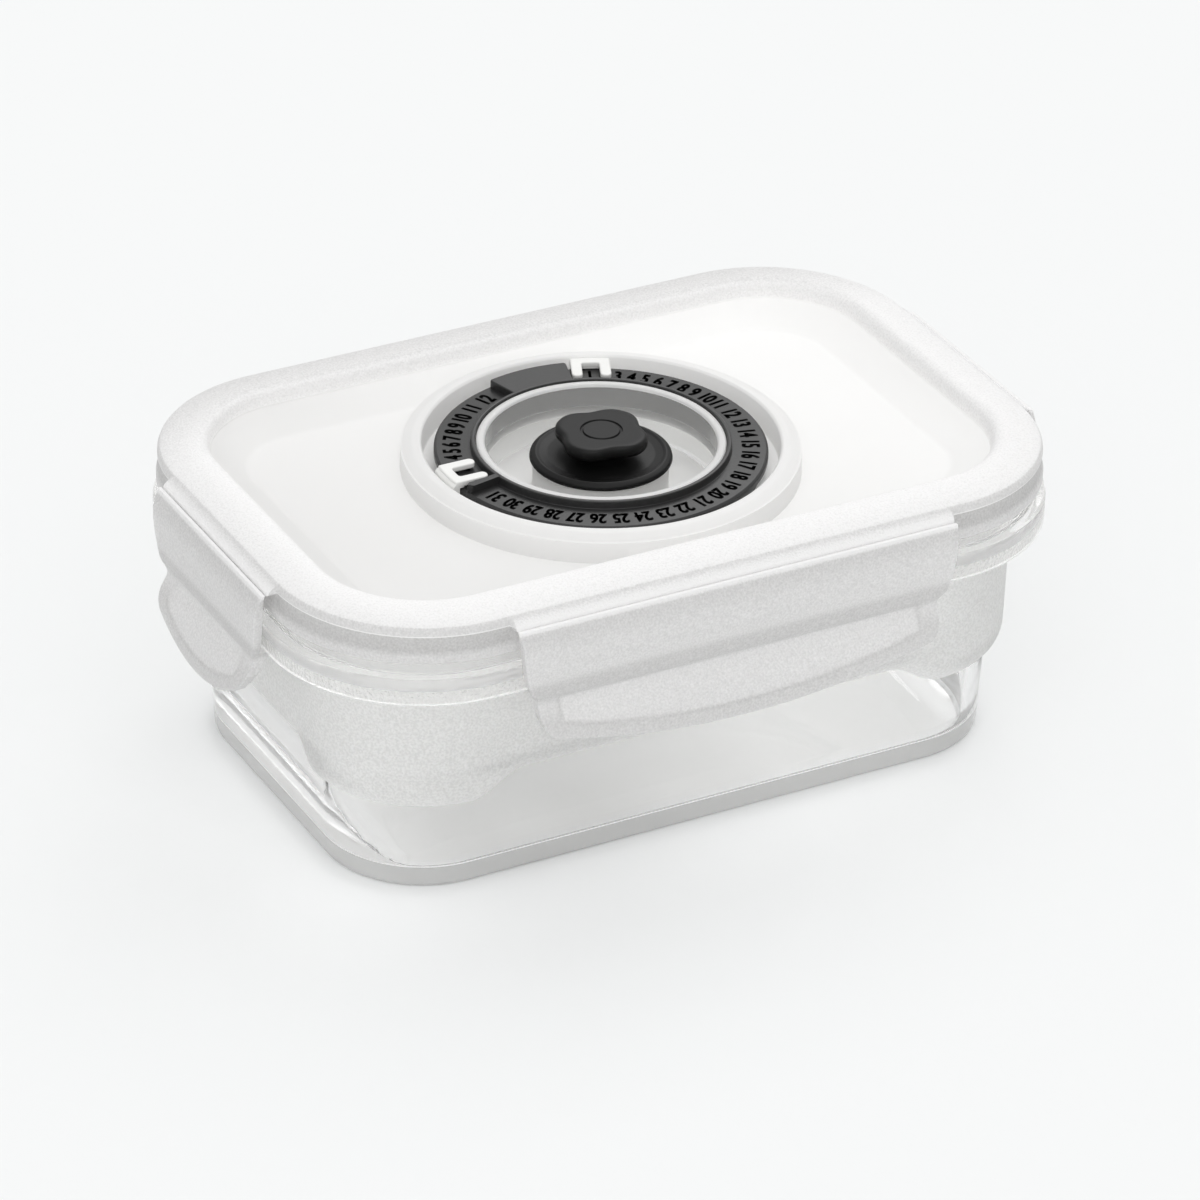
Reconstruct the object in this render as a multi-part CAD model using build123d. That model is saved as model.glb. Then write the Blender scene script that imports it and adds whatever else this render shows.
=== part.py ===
from build123d import *
import os

# Vacuum seal canister: a clear rectangular box with a frosted clip lid that carries four
# hinged flaps, a date ring with two sliding pointers and a silicone release valve.
# Millimetres. Origin in the middle of the underside, +X along the long sides, +Z up,
# the front is -Y. The box outlines are all insets of the hinge outline, so they share
# four corner centres, and a ring round the box is one section swept round them.

# Driving sizes
hinge_long = 150.4
hinge_short = 101.8
hinge_corner = 29.8
hinge_height = 54.7
overrun = 1.0

# Heights over the hinge line, down is negative
container_lip_z = -2.9
flange_top_z = -7.4
ledge_z = -8.4
flange_groove_z = -10.2
flange_skirt_z = -12.7
flange_bevel = 0.4
lid_skirt_z = -4.6
skirt_step_z = -3.3
skirt_band_z = -2.3
lid_shoulder_z = 1.9
lid_dome_z = 2.05
dome_mid_z = 3.05
lid_crest_z = 3.4
crest_mid_z = 3.05
lid_inner_top_z = 2.2
lid_seam_z = 0.36
dome_roof_z = 1.7
groove_roof_z = -0.3
rib_foot_z = -5.2
panel_floor_z = -3.3
hub_lip_z = 1.75
ring_top_z = 1.95
track_z = 0.5
flange_bevel_z = flange_skirt_z + flange_bevel

# Insets from the hinge outline towards the middle
base_inset = 11.5
wall_inset = 10.6
band_inset = 7.6
band_top_inset = 7.1
flange_inset = 1.3
flange_foot_inset = 2.0
flange_skirt_inset = 3.1
neck_inset = 3.5
lid_skirt_inset = 1.95
lid_wall_inset = 2.32
lid_dome_inset = 3.1
dome_mid_inset = 5.4
lid_crest_inset = 8.9
crest_mid_inset = 10.3
lid_inner_top_inset = 11.1
lid_seam_inset = 11.4
tray_slope = 6.5
panel_foot_inset = lid_seam_inset + tray_slope

# Container
container_wall = 2.0
neck_wall = 1.8
floor_thickness = 3.0
floor_draft = 0.6
base_fillet = 1.4
floor_fillet = 3.5
floor_end_fillet = 10.0
band_corner_foot = 17.3
band_side_foot = 21.7
band_rounding = 2.9
band_long_share = 0.9
band_short_share = 0.93
inner_step_foot = 22.0
inner_step_top = 27.5

# Lid frame, panel and gasket
lid_wall = 1.5
lid_gap = 0.4
rib_thickness = 1.3
rib_gap = 0.6
panel_thickness = 1.6
gasket_side_gap = 0.1
gasket_neck_gap = 0.35

# Hub in the middle of the panel, with the well and the valve boss
hub_outer = 22.0
hub_wall = 1.6
hub_rounding = 0.6
well_floor_z = -8.4
boss_radius = 12.0
boss_top_z = -2.2
boss_wall = 1.6
boss_rounding = 0.5
vent_count = 4
vent_radius = 0.9
vent_circle = 6.0

# Date ring, outwards from the hub
ring_gap = 0.1
ring_width = 7.25
ring_lip = 0.7
ring_lip_draft = 0.15
ring_chamfer = 0.4
ring_flange_width = 1.25
ring_flange_z = -0.9
stop_setback = 0.35
day_stop_start = 75.0
day_stop_end = 105.5
month_stop_start = 188.4
month_stop_end = 191.3
ring_inner = hub_outer + ring_gap
lip_outer = ring_inner + ring_lip
ring_outer = ring_inner + ring_width
ring_body_outer = ring_outer - ring_flange_width
stop_outer = ring_outer - stop_setback

# Pointers: a plate over the track and a clip round the flange of the ring
pointer_width = 7.1
pointer_setback = 0.8
pointer_slip = 0.06
pointer_clip = 1.49
pointer_bevel = 0.6
pointer_edge_drop = 0.65
pointer_leg_gap = 0.4
pointer_hook_gap = 0.2
pointer_hook_drop = 1.2
leg_rounding = 0.9
window_width = 3.2
window_setback = 0.9
pointer_sweep = 30.0
month_angle = 179.5
day_angle = 66.2
pointer_inner = lip_outer + pointer_setback
window_end = ring_outer - window_setback
pointer_outer = ring_outer + pointer_slip + pointer_clip
pointer_edge = pointer_outer - pointer_bevel
pointer_edge_z = ring_top_z - pointer_edge_drop
pointer_leg_z = track_z + pointer_leg_gap
pointer_hook_inner = ring_body_outer + pointer_hook_gap
pointer_hook_z = ring_flange_z - pointer_hook_drop

# Collar of the panel round the date ring
collar_gap = 0.6
collar_width = 3.4
collar_step = 0.3
collar_top_z = 1.75
collar_mid_z = 1.5
collar_edge_z = 0.67
collar_inner = pointer_outer + collar_gap
collar_edge = collar_inner + collar_width
collar_outer = collar_edge + collar_step

# Release valve: its rises are over the top of the boss
valve_overhang = 0.65
valve_seat_gap = 0.15
valve_edge_bevel = 0.75
valve_edge_rise = 0.46
valve_rim_bevel = 0.95
valve_rim_rise = 1.6
valve_rim_width = 0.7
valve_dish_width = 1.5
valve_dish_rise = 1.25
valve_travel = 2.0
stem_radius = 1.8
stem_gap = 0.3
bulb_radius = 2.7
bulb_shoulder = 0.7
bulb_height = 1.6
bulb_tip = 0.9
cone_mid = 4.4
cone_mid_rise = 2.1
valve_neck = 3.2
valve_neck_rise = 3.0
knob_foot_rise = 3.55
knob_top_rise = 5.9
knob_radius = 8.5
knob_rounding = 0.55
knob_notches = 4
knob_notch_depth = 1.35
knob_notch_radius = 4.2
knob_notch_angle = 79.0
knob_lobe_rounding = 2.0
knob_groove = 3.5
knob_groove_width = 0.5
knob_groove_depth = 0.3
valve_disc = boss_radius + valve_overhang
valve_rim = valve_disc - valve_rim_bevel
valve_rim_inner = valve_rim - valve_rim_width
knob_foot_z = boss_top_z + knob_foot_rise
knob_top_z = boss_top_z + knob_top_rise

# Flaps: offsets are outward from the hinge line, tapers are inward from the hinge width
flap_long = 84.9
flap_short = 42.5
knuckle_radius = 0.45
flap_inner = -0.1
flap_bulge = 1.65
flap_bulge_z = -3.2
flap_waist = 1.2
flap_waist_z = -13.0
flap_valley = 0.4
flap_valley_z = -14.6
flap_toe = 2.9
flap_toe_z = -19.6
flap_tip = 3.35
flap_tip_z = -25.1
flap_tip_thickness = 1.7
flap_toe_thickness = 2.0
flap_bulge_rounding = 2.2
flap_waist_rounding = 1.0
flap_valley_rounding = 0.8
flap_toe_rounding = 2.0
hook_gap = 0.15
hook_tip = -2.9
hook_edge = 0.65
hook_slope = -1.7
hook_slope_z = -15.1
waist_taper = 2.2
heel_taper = 3.6
heel_z = -13.3
toe_taper = 3.8
toe_side_z = -17.3
foot_taper = 5.65
foot_z = -20.6
thumb_taper = 7.15
thumb_top_z = -13.6
thumb_side_z = -17.8
thumb_margin = 2.3
thumb_depth = 0.35

# Living hinges: the thin strips that join the lid frame to its flaps
web_gap = 0.1
web_edge = 0.3
web_foot = 0.25

corner_x = hinge_long / 2 - hinge_corner
corner_y = hinge_short / 2 - hinge_corner


def at(inset, height):
    """A section point from its inset and its height over the hinge line."""
    return (hinge_corner - inset, hinge_height + height)


def up(radius, height):
    """A point of a turned section from its radius and its height over the hinge line."""
    return (radius, hinge_height + height)


def section(points, rounded=None, plane=Plane.XZ):
    """A closed face from its corner points. rounded gives a radius to some, by index."""
    radii = [0] * len(points)
    for index, radius in (rounded or {}).items():
        radii[index] = radius
    if rounded:
        outline = FilletPolyline(*points, radius=radii, close=True)
    else:
        outline = Polyline(*points, close=True)
    return plane * make_face(outline)


def around(face):
    """Sweep a section round the box: four straight sides joined by four quarter turns."""
    quarter = revolve(face, Axis.Z, 90)
    result = Part()
    for turn, x, y, length in (
        (0, corner_x, corner_y, corner_y),
        (90, -corner_x, corner_y, corner_x),
        (180, -corner_x, -corner_y, corner_y),
        (270, corner_x, -corner_y, corner_x),
    ):
        straight = extrude(face, 2 * length, dir=(0, -1, 0))
        result += Location((x, y, 0), (0, 0, turn)) * (quarter + straight)
    return result


def filled(points, rounded=None):
    """A solid block round the box. The first and last points lie over the corner centre."""
    low = points[0][1]
    high = points[-1][1]
    core = Box(2 * corner_x, 2 * corner_y, high - low, align=(Align.CENTER, Align.CENTER, Align.MIN))
    return around(section(points, rounded)) + Pos(0, 0, low) * core


def turned(points, rounded=None, start=0.0, sweep=360.0):
    """A solid turned about the middle axis from a section, from one angle by another."""
    return Rot(0, 0, start) * revolve(section(points, rounded), Axis.Z, sweep)


def disc(radius, low, high):
    """An upright cylinder between two heights over the hinge line."""
    body = Cylinder(radius, high - low, align=(Align.CENTER, Align.CENTER, Align.MIN))
    return Pos(0, 0, hinge_height + low) * body


# Container: thick clear base, frosted band, flange under the lid and neck inside it
def make_container():
    outside = [
        (0, 0),
        (hinge_corner - base_inset, 0),
        (hinge_corner - wall_inset, band_corner_foot),
        (hinge_corner - band_inset, band_corner_foot),
        at(band_top_inset, flange_groove_z),
        at(flange_skirt_inset, flange_groove_z),
        at(flange_skirt_inset, flange_skirt_z),
        at(flange_foot_inset, flange_skirt_z),
        at(flange_inset, flange_bevel_z),
        at(flange_inset, flange_top_z),
        at(neck_inset, flange_top_z),
        at(neck_inset, container_lip_z),
        (0, hinge_height + container_lip_z),
    ]
    inside = [
        (0, floor_thickness),
        (hinge_corner - base_inset - container_wall - floor_draft, floor_thickness),
        (hinge_corner - wall_inset - container_wall, inner_step_foot),
        (hinge_corner - band_inset - container_wall, inner_step_top),
        at(band_top_inset + container_wall, ledge_z),
        at(neck_inset + neck_wall, ledge_z),
        at(neck_inset + neck_wall, container_lip_z + overrun),
        (0, hinge_height + container_lip_z + overrun),
    ]
    room = filled(inside, {1: floor_fillet})
    rise = floor_rise()
    room -= rise
    room -= Rot(0, 0, 180) * rise
    body = filled(outside, {1: base_fillet, 3: band_rounding}) - room
    long_half = corner_x * band_long_share
    short_half = corner_y * band_short_share
    for turn, reach, half in ((0, corner_x, short_half), (90, corner_y, long_half)):
        relief = band_relief(reach, half)
        body -= Rot(0, 0, turn) * relief
        body -= Rot(0, 0, turn + 180) * relief
    return body


def floor_rise():
    """The block under the large curve that leads the floor up into the end wall on the +X side."""
    wall_foot = corner_x + hinge_corner - base_inset - container_wall - floor_draft
    wall_top = corner_x + hinge_corner - wall_inset - container_wall
    points = [
        (wall_foot - 2 * floor_end_fillet, floor_thickness),
        (wall_foot, floor_thickness),
        (wall_top, inner_step_foot),
        (wall_top + overrun, inner_step_foot),
        (wall_top + overrun, floor_thickness - overrun),
        (wall_foot - 2 * floor_end_fillet, floor_thickness - overrun),
    ]
    return extrude(section(points, {1: floor_end_fillet}), hinge_short / 2, both=True)


def band_relief(reach, half):
    """What the band leaves free along the +X side, where its foot is higher than at a corner."""
    wall = reach + hinge_corner - wall_inset
    band = reach + hinge_corner - band_inset
    points = [
        (wall, band_corner_foot - overrun),
        (wall, band_side_foot),
        (band - band_rounding, band_side_foot),
        (band, band_side_foot + band_rounding),
        (band + overrun, band_side_foot + band_rounding),
        (band + overrun, band_corner_foot - overrun),
    ]
    return extrude(section(points), half, both=True)


# Lid frame: skirt outside the neck, dome, inner wall down to the panel, and a rib inside
# the neck that closes the groove for the gasket
def lid_frame_section():
    groove_outer = neck_inset - lid_gap
    groove_inner = neck_inset + neck_wall + rib_gap
    with BuildSketch(Plane.XZ) as sketch:
        with BuildLine():
            outer = Polyline(
                at(groove_outer, groove_roof_z),
                at(groove_outer, lid_skirt_z),
                at(lid_skirt_inset, lid_skirt_z),
                at(lid_skirt_inset, skirt_step_z),
                at(lid_wall_inset, skirt_band_z),
                at(lid_wall_inset, lid_shoulder_z),
                at(lid_dome_inset, lid_dome_z),
            )
            dome = ThreePointArc(
                at(lid_dome_inset, lid_dome_z),
                at(dome_mid_inset, dome_mid_z),
                at(lid_crest_inset, lid_crest_z),
            )
            crest = ThreePointArc(
                at(lid_crest_inset, lid_crest_z),
                at(crest_mid_inset, crest_mid_z),
                at(lid_inner_top_inset, lid_inner_top_z),
            )
            Polyline(
                at(lid_inner_top_inset, lid_inner_top_z),
                at(lid_seam_inset, lid_seam_z),
                at(lid_seam_inset - lid_wall, lid_seam_z),
                at(lid_inner_top_inset - lid_wall, dome_roof_z),
                at(groove_inner + rib_thickness, dome_roof_z),
                at(groove_inner + rib_thickness, rib_foot_z),
                at(groove_inner, rib_foot_z),
                at(groove_inner, groove_roof_z),
                at(groove_outer, groove_roof_z),
            )
        make_face()
    return sketch.sketch


def make_lid_frame():
    return around(lid_frame_section())


# Gasket: fills the roof of the groove over the neck
def make_gasket():
    outer = neck_inset - lid_gap + gasket_side_gap
    inner = neck_inset + neck_wall + rib_gap - gasket_side_gap
    foot_z = container_lip_z + gasket_neck_gap
    points = [
        at(inner, foot_z),
        at(outer, foot_z),
        at(outer, groove_roof_z),
        at(inner, groove_roof_z),
    ]
    return around(section(points))


# Lid panel: tray floor and its sloped border inside the frame, with the hub turned in its middle
def make_panel():
    under_z = panel_floor_z - panel_thickness
    border_under_z = lid_seam_z - panel_thickness
    middle = (collar_inner + collar_outer) / 2
    tray = [
        at(hinge_corner, under_z),
        at(panel_foot_inset, under_z),
        at(lid_seam_inset, border_under_z),
        at(lid_seam_inset - lid_wall, border_under_z),
        at(lid_seam_inset - lid_wall, lid_seam_z),
        at(lid_seam_inset, lid_seam_z),
        at(panel_foot_inset, panel_floor_z),
        at(hinge_corner, panel_floor_z),
    ]
    plate = filled(tray) - disc(middle, under_z - overrun, lid_seam_z + overrun)
    body = plate + make_hub() + make_collar()
    vents = PolarLocations(vent_circle, vent_count)
    for place in vents:
        hole = disc(vent_radius, boss_top_z - boss_wall - overrun, boss_top_z + overrun)
        body -= Pos(place.position) * hole
    return body


def make_hub():
    under_z = panel_floor_z - panel_thickness
    well_under_z = well_floor_z - boss_wall
    hub_inner = hub_outer - hub_wall
    middle = (collar_inner + collar_outer) / 2
    stem_hole = stem_radius + stem_gap
    points = [
        up(stem_hole, boss_top_z),
        up(boss_radius, boss_top_z),
        up(boss_radius, well_floor_z),
        up(hub_inner, well_floor_z),
        up(hub_inner, hub_lip_z),
        up(hub_outer, hub_lip_z),
        up(hub_outer, panel_floor_z),
        up(middle, panel_floor_z),
        up(middle, under_z),
        up(hub_outer, under_z),
        up(hub_outer, well_under_z),
        up(boss_radius - boss_wall, well_under_z),
        up(boss_radius - boss_wall, boss_top_z - boss_wall),
        up(stem_hole, boss_top_z - boss_wall),
    ]
    return turned(points, {1: boss_rounding, 4: hub_rounding, 5: hub_rounding})


def make_collar():
    with BuildSketch(Plane.XZ) as sketch:
        with BuildLine():
            ThreePointArc(
                up(collar_inner, collar_top_z),
                up((collar_inner + collar_edge) / 2, collar_mid_z),
                up(collar_edge, collar_edge_z),
            )
            Polyline(
                up(collar_edge, collar_edge_z),
                up(collar_outer, collar_edge_z),
                up(collar_outer, panel_floor_z - panel_thickness),
                up(collar_inner, panel_floor_z - panel_thickness),
                up(collar_inner, collar_top_z),
            )
        make_face()
    return revolve(sketch.sketch, Axis.Z)


# Date ring: numbered track between a raised lip and a flange, with two raised stops
def make_date_ring():
    points = [
        up(ring_inner, panel_floor_z),
        up(ring_inner, ring_top_z),
        up(lip_outer, ring_top_z),
        up(lip_outer + ring_lip_draft, track_z),
        up(ring_outer - ring_chamfer, track_z),
        up(ring_outer, track_z - ring_chamfer),
        up(ring_outer, ring_flange_z),
        up(ring_body_outer, ring_flange_z),
        up(ring_body_outer, panel_floor_z),
    ]
    body = turned(points)
    stop = [
        up(lip_outer - ring_lip / 2, track_z - ring_chamfer),
        up(stop_outer, track_z - ring_chamfer),
        up(stop_outer, ring_top_z),
        up(lip_outer - ring_lip / 2, ring_top_z),
    ]
    body += turned(stop, None, day_stop_start, day_stop_end - day_stop_start)
    body += turned(stop, None, month_stop_start, month_stop_end - month_stop_start)
    return body


# Pointers: a plate with a window open to the middle, and a clip round the ring's flange
def make_pointer(angle):
    inner = ring_outer + pointer_slip
    points = [
        up(pointer_inner, pointer_leg_z),
        up(window_end, pointer_leg_z),
        up(window_end, track_z + pointer_slip),
        up(inner, track_z + pointer_slip),
        up(inner, ring_flange_z - pointer_slip),
        up(pointer_hook_inner, ring_flange_z - pointer_slip),
        up(pointer_hook_inner, pointer_hook_z),
        up(pointer_outer, pointer_hook_z),
        up(pointer_outer, pointer_edge_z),
        up(pointer_edge, ring_top_z),
        up(pointer_inner, ring_top_z),
    ]
    plan = Pos((pointer_inner + pointer_outer) / 2) * Rectangle(pointer_outer - pointer_inner, pointer_width)
    plan -= Pos((pointer_inner + window_end) / 2) * Rectangle(window_end - pointer_inner, window_width)
    leg_ends = plan.vertices().group_by(Axis.X)[0]
    plan = fillet(leg_ends, leg_rounding)
    tall = ring_top_z - pointer_hook_z
    outline = extrude(Pos(0, 0, hinge_height) * plan, tall, both=True)
    body = turned(points, None, -pointer_sweep / 2, pointer_sweep) & outline
    return Rot(0, 0, angle) * body


# Release valve: disc over the boss, lobed knob to pull, stem and bulb under the boss
def make_valve():
    foot_z = boss_top_z + valve_seat_gap
    rim_z = boss_top_z + valve_rim_rise
    dish = valve_rim_inner - valve_dish_width
    shoulder_z = boss_top_z - boss_wall - valve_travel
    bulb_z = shoulder_z - bulb_shoulder - bulb_height
    points = [
        up(0, bulb_z - bulb_tip),
        up(stem_radius, bulb_z - bulb_tip),
        up(bulb_radius, bulb_z),
        up(bulb_radius, bulb_z + bulb_height),
        up(stem_radius, shoulder_z),
        up(stem_radius, foot_z),
        up(valve_disc - valve_edge_bevel, foot_z),
        up(valve_disc, boss_top_z + valve_edge_rise),
        up(valve_rim, rim_z),
        up(valve_rim_inner, rim_z),
        up(dish, boss_top_z + valve_dish_rise),
        up(cone_mid, boss_top_z + cone_mid_rise),
        up(valve_neck, boss_top_z + valve_neck_rise),
        up(valve_neck, knob_foot_z),
        up(0, knob_foot_z),
    ]
    return turned(points) + make_knob()


def make_knob():
    knob = disc(knob_radius, knob_foot_z, knob_top_z)
    notch_circle = knob_radius - knob_notch_depth + knob_notch_radius
    for notch in range(knob_notches):
        turn = Rot(0, 0, knob_notch_angle + notch * 360 / knob_notches)
        cutter = disc(knob_notch_radius, knob_foot_z - overrun, knob_top_z + overrun)
        knob -= turn * Pos(notch_circle, 0, 0) * cutter
    knob = fillet(knob.edges().filter_by(Axis.Z), knob_lobe_rounding)
    rims = knob.faces().filter_by(Axis.Z).edges()
    knob = fillet(rims, knob_rounding)
    groove = disc(knob_groove, knob_top_z - knob_groove_depth, knob_top_z + overrun)
    island = knob_groove - knob_groove_width
    groove -= disc(island, knob_top_z - knob_groove_depth - overrun, knob_top_z + 2 * overrun)
    return knob - groove


# Flaps, drawn at the origin with the hinge line along X and the outside towards -Y
outward = Plane(origin=(0, 0, 0), x_dir=(0, -1, 0), z_dir=(-1, 0, 0))


def flap_outline(width, side_points, tip_z):
    """The front view of a flap, or of its thumb panel, with an arc for its lower edge."""
    half = width / 2
    right = [(half - taper, height) for taper, height in side_points]
    left = [(-x, height) for x, height in reversed(right)]
    with BuildSketch(Plane.XZ) as sketch:
        with BuildLine():
            Polyline(*left, *right)
            ThreePointArc(right[-1], (0, tip_z), left[0])
        make_face()
    return sketch.sketch


def make_flap(width):
    hook_z = flange_skirt_z - hook_gap
    side_view = [
        (knuckle_radius, 0),
        (flap_bulge, flap_bulge_z),
        (flap_waist, flap_waist_z),
        (flap_valley, flap_valley_z),
        (flap_toe, flap_toe_z),
        (flap_tip, flap_tip_z),
        (flap_tip - flap_tip_thickness, flap_tip_z),
        (flap_toe - flap_toe_thickness, flap_toe_z),
        (hook_slope, hook_slope_z),
        (hook_tip, hook_z - hook_edge),
        (hook_tip, hook_z),
        (flap_inner, hook_z),
        (flap_inner, -knuckle_radius),
        (-knuckle_radius, 0),
        (0, knuckle_radius),
    ]
    rounded = {
        1: flap_bulge_rounding,
        2: flap_waist_rounding,
        3: flap_valley_rounding,
        4: flap_toe_rounding,
    }
    sides = [
        (0, knuckle_radius),
        (waist_taper, hook_z),
        (heel_taper, heel_z),
        (toe_taper, toe_side_z),
        (foot_taper, foot_z),
    ]
    outline = flap_outline(width, sides, flap_tip_z)
    deep = flap_tip - hook_tip
    body = extrude(section(side_view, rounded, outward), width / 2, both=True)
    body &= extrude(outline, deep, both=True)
    return body - thumb_recess(width)


def thumb_recess(width):
    """The shallow thumb panel in the lower part of a flap's outer face."""
    side_view = [
        (flap_valley - thumb_depth, thumb_top_z),
        (flap_valley - thumb_depth, flap_valley_z),
        (flap_toe - thumb_depth, flap_toe_z),
        (flap_tip - thumb_depth, flap_tip_z),
        (flap_tip + overrun, flap_tip_z),
        (flap_tip + overrun, thumb_top_z),
    ]
    sides = [(thumb_taper, thumb_top_z), (thumb_taper, thumb_side_z)]
    outline = flap_outline(width, sides, flap_tip_z + thumb_margin)
    skin = extrude(section(side_view, None, outward), width / 2, both=True)
    return skin & extrude(outline, 2 * flap_tip, both=True)


def make_hinge_web(width):
    wall = -lid_wall_inset
    edge = -knuckle_radius - web_gap
    points = [
        (wall, -web_foot),
        (edge, -web_foot),
        (edge, web_edge),
        (wall, lid_shoulder_z),
    ]
    return extrude(section(points, None, outward), width / 2, both=True)


def at_side(piece, turn, hinge_width):
    """Put a flap or web at its side of the lid, turned round from the front."""
    return Rot(0, 0, turn) * Pos(0, -hinge_width / 2, hinge_height) * piece


nodes = {
    "container_body": make_container(),
    "lid_frame": make_lid_frame(),
    "lid_panel": make_panel(),
    "lid_gasket": make_gasket(),
    "date_ring": make_date_ring(),
    "month_pointer": make_pointer(month_angle),
    "day_pointer": make_pointer(day_angle),
    "release_valve": make_valve(),
}
for side, turn, hinge_width, width in (
    ("front", 0, hinge_short, flap_long),
    ("right", 90, hinge_long, flap_short),
    ("back", 180, hinge_short, flap_long),
    ("left", 270, hinge_long, flap_short),
):
    nodes["flap_" + side] = at_side(make_flap(width), turn, hinge_width)
    nodes["living_hinge_" + side] = at_side(make_hinge_web(width), turn, hinge_width)

os.makedirs("parts", exist_ok=True)
for name, piece in nodes.items():
    export_step(piece, f"parts/{name}.step")
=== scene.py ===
import math
import bmesh
import bpy
from mathutils import Matrix, Vector


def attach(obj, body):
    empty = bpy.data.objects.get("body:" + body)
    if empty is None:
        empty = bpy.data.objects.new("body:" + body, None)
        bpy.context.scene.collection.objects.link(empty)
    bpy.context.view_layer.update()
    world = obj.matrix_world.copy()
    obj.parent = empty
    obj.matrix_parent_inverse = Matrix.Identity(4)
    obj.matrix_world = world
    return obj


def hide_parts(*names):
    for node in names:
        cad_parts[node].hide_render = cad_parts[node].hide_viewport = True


# Vacuum seal canister. Sizes are in millimetres and are turned into metres when a mesh is
# made. Heights named z are measured from the hinge line of the flaps, down is negative.
# The container's other heights are measured up from the table.
# The outlines round the box are all insets of the hinge outline, so they share four
# corner centres. Profiles are lists of points, each an inset or a radius with a height,
# and a third number on a point is the radius that rounds it.

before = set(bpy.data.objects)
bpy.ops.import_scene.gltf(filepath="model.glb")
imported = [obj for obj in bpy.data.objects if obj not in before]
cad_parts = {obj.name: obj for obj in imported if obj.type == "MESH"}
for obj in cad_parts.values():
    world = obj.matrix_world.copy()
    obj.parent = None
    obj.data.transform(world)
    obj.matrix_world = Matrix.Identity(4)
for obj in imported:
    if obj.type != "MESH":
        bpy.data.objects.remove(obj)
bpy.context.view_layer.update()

MM = 0.001
TURN = 2 * math.pi
SIDES = ("right", "back", "left", "front")

# Driving sizes, the same as in the solids
hinge_long = 150.4
hinge_short = 101.8
hinge_corner = 29.8
hinge_height = 54.7
flap_long = 84.9
flap_short = 42.5
corner_x = hinge_long / 2 - hinge_corner
corner_y = hinge_short / 2 - hinge_corner

# How finely the skins are divided round the box
station_step = 1.5
flap_end_blend = 0.9
flap_end_steps = 5


# Outlines round the box

def side_sizes(side):
    """Half a side's straight part, how far out its corners are and half its flap's width."""
    if side % 2:
        return corner_x, corner_y, flap_long / 2
    return corner_y, corner_x, flap_short / 2


class Station:
    """A place on the way round the box: where its corner centre is and which way is out."""

    def __init__(self, side, run):
        half, reach, self.flap_half = side_sizes(side)
        past = max(abs(run) - half, 0.0)
        turn = side * TURN / 4
        angle = turn + math.copysign(past / hinge_corner, run)
        self.side = side
        self.run = run
        self.centre = turned_point(reach, max(-half, min(half, run)), turn)
        self.normal = polar(1.0, angle)

    def point(self, inset, z):
        reach = hinge_corner - inset
        x = self.centre[0] + self.normal[0] * reach
        y = self.centre[1] + self.normal[1] * reach
        return (x, y, hinge_height + z)

    def inset_at_radius(self, radius):
        """The inset at which the way inwards from here comes within a radius of the middle."""
        along = self.centre[0] * self.normal[0] + self.centre[1] * self.normal[1]
        left = radius ** 2 + along ** 2 - self.centre[0] ** 2 - self.centre[1] ** 2
        return hinge_corner + along - math.sqrt(left) if left > 0 else hinge_corner


def polar(radius, angle):
    return (radius * math.cos(angle), radius * math.sin(angle))


def turned_point(x, y, turn):
    return (x * math.cos(turn) - y * math.sin(turn), x * math.sin(turn) + y * math.cos(turn))


def inset_at(x, y):
    """How far inside the hinge outline a point lies."""
    dx, dy = abs(x) - corner_x, abs(y) - corner_y
    reach = math.hypot(dx, dy) if dx > 0 and dy > 0 else max(dx, dy)
    return hinge_corner - reach


def side_runs(side):
    """Where the stations of one side stand, closer together at the ends of its flap."""
    half, _, flap_half = side_sizes(side)
    limit = half + hinge_corner * TURN / 8
    blend_end = flap_half + flap_end_blend / 2
    marks = [0.0, flap_half - flap_end_blend / 2, blend_end, limit]
    if blend_end < half:
        marks.append(half)
    marks.sort()
    runs = []
    for low, high in zip(marks, marks[1:]):
        count = max(2, math.ceil((high - low) / station_step))
        if low < flap_half < high:
            count = flap_end_steps
        runs += [low + (high - low) * i / count for i in range(count)]
    return [-limit] + [-run for run in reversed(runs[1:])] + runs


STATIONS = [Station(side, run) for side in range(4) for run in side_runs(side)]


def limited(value, low, high):
    return max(low, min(high, value))


def smooth_step(low, high, value):
    share = limited((value - low) / (high - low), 0.0, 1.0)
    return share * share * (3 - 2 * share)


def mix(a, b, share):
    return a + (b - a) * share


def mix_point(first, second, share):
    return tuple(mix(a, b, share) for a, b in zip(first, second))


# Profiles

# The most that a rounding takes of the stretches on either side of its corner
setback_share = 0.49


def round_path(points, steps=5):
    """A path through corner points. A third number on a point is its rounding radius."""
    path = []
    for index, point in enumerate(points):
        radius = point[2] if len(point) > 2 else 0.0
        if radius == 0.0 or index in (0, len(points) - 1):
            path.append((point[0], point[1]))
            continue
        corner = Vector(point[:2])
        before = Vector(points[index - 1][:2]) - corner
        after = Vector(points[index + 1][:2]) - corner
        room = setback_share * min(before.length, after.length)
        setback = min(radius / math.tan(before.angle(after) / 2), room)
        start = corner + before.normalized() * setback
        end = corner + after.normalized() * setback
        for i in range(steps + 1):
            share = i / steps
            blend = start.lerp(corner, share).lerp(corner.lerp(end, share), share)
            path.append((blend.x, blend.y))
    return path


def clipped(profile, limit):
    """A profile that stops at an inset, with the points beyond drawn back to where it stops."""
    stop = None
    for first, second in zip(profile, profile[1:]):
        if min(first[0], second[0]) <= limit < max(first[0], second[0]):
            share = (limit - first[0]) / (second[0] - first[0])
            stop = (limit, mix(first[1], second[1], share))
    return [stop if stop and point[0] > limit else point for point in profile]


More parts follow.
